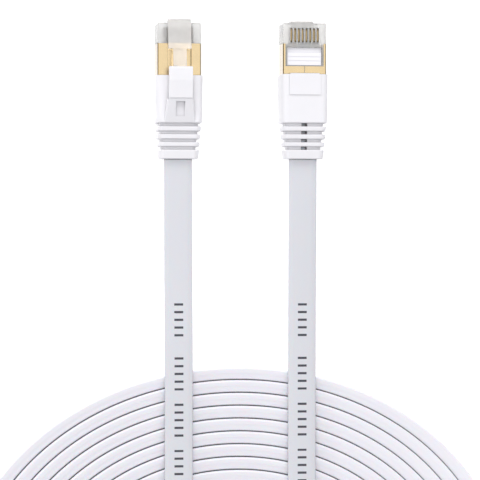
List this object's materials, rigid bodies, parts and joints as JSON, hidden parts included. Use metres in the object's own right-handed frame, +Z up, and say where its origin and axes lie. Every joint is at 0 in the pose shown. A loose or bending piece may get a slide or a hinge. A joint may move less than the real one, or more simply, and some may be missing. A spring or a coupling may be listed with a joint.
{
  "type": "ethernet patch cable",
  "caption": "Flat white ethernet patch cable in an oval coil, with a shielded modular plug, press latch and ribbed boot at each end.",
  "frame": {"origin": "on the floor, midway between the two plugs and midway along them", "axes": "+Y towards the plug noses, +X from plug a to plug b, +Z up; plug a has its latch up, plug b its contacts up"},
  "size_m": [0.1532, 0.2192, 0.012],
  "materials": {
    "clear_plastic": "clear moulded polycarbonate",
    "gold_shield": "gold-plated folded sheet, polished",
    "gold_contact": "gold-plated blades",
    "load_bar_plastic": "white moulded plastic with fine ridges",
    "boot_pvc": "white soft PVC, satin",
    "cable_jacket": "white flat PVC jacket, satin, with grey ink marks",
    "copper": "bare copper strand",
    "foil": "aluminium foil",
    "tinned_wire": "tinned copper",
    "insulation_white_orange": "wire insulation",
    "insulation_orange": "wire insulation",
    "insulation_white_green": "wire insulation",
    "insulation_blue": "wire insulation",
    "insulation_white_blue": "wire insulation",
    "insulation_green": "wire insulation",
    "insulation_white_brown": "wire insulation",
    "insulation_brown": "wire insulation"
  },
  "bodies": {
    "root": {"housing_a": "clear_plastic", "contacts_a": "gold_contact", "load_bar_a": "load_bar_plastic", "shield_a": "gold_shield", "drain_wire_a": "tinned_wire", "boot_a": "boot_pvc", "cores_a": "copper", "pair_foils_a": "foil", "conductor_white_orange_a": "insulation_white_orange", "conductor_orange_a": "insulation_orange", "conductor_white_green_a": "insulation_white_green", "conductor_blue_a": "insulation_blue", "conductor_white_blue_a": "insulation_white_blue", "conductor_green_a": "insulation_green", "conductor_white_brown_a": "insulation_white_brown", "conductor_brown_a": "insulation_brown", "housing_b": "clear_plastic", "contacts_b": "gold_contact", "load_bar_b": "load_bar_plastic", "shield_b": "gold_shield", "drain_wire_b": "tinned_wire", "boot_b": "boot_pvc", "cores_b": "copper", "pair_foils_b": "foil", "conductor_white_orange_b": "insulation_white_orange", "conductor_orange_b": "insulation_orange", "conductor_white_green_b": "insulation_white_green", "conductor_blue_b": "insulation_blue", "conductor_white_blue_b": "insulation_white_blue", "conductor_green_b": "insulation_green", "conductor_white_brown_b": "insulation_white_brown", "conductor_brown_b": "insulation_brown", "lead_a": "cable_jacket", "lead_b": "cable_jacket", "cable_coil": "cable_jacket"},
    "latch_a": {"latch_a": "clear_plastic"},
    "press_tab_a": {"press_tab_a": "boot_pvc"},
    "latch_b": {"latch_b": "clear_plastic"},
    "press_tab_b": {"press_tab_b": "boot_pvc"}
  },
  "joints": [
    {"name": "press_tab_a_hinge", "type": "hinge", "parent": "root", "child": "press_tab_a", "pos_m": [-0.0166, -0.00272, 0.01055], "axis": [-1, 0, 0], "range_deg": [0, 15.5], "stiffness_Nm_per_rad": 0.02},
    {"name": "latch_a_hinge", "type": "hinge", "parent": "root", "child": "latch_a", "pos_m": [-0.0166, 0.01783, 0.0067], "axis": [1, 0, 0], "range_deg": [0, 9.5], "stiffness_Nm_per_rad": 0.02},
    {"name": "press_tab_b_hinge", "type": "hinge", "parent": "root", "child": "press_tab_b", "pos_m": [0.0166, -0.00272, 0.00145], "axis": [1, 0, 0], "range_deg": [0, 15.5], "stiffness_Nm_per_rad": 0.02},
    {"name": "latch_b_hinge", "type": "hinge", "parent": "root", "child": "latch_b", "pos_m": [0.0166, 0.01783, 0.0053], "axis": [-1, 0, 0], "range_deg": [0, 9.5], "stiffness_Nm_per_rad": 0.02}
  ],
  "couplings": [
    {"joint": "latch_a_hinge", "follows": "press_tab_a_hinge", "ratio": 0.61},
    {"joint": "latch_b_hinge", "follows": "press_tab_b_hinge", "ratio": 0.61}
  ]
}
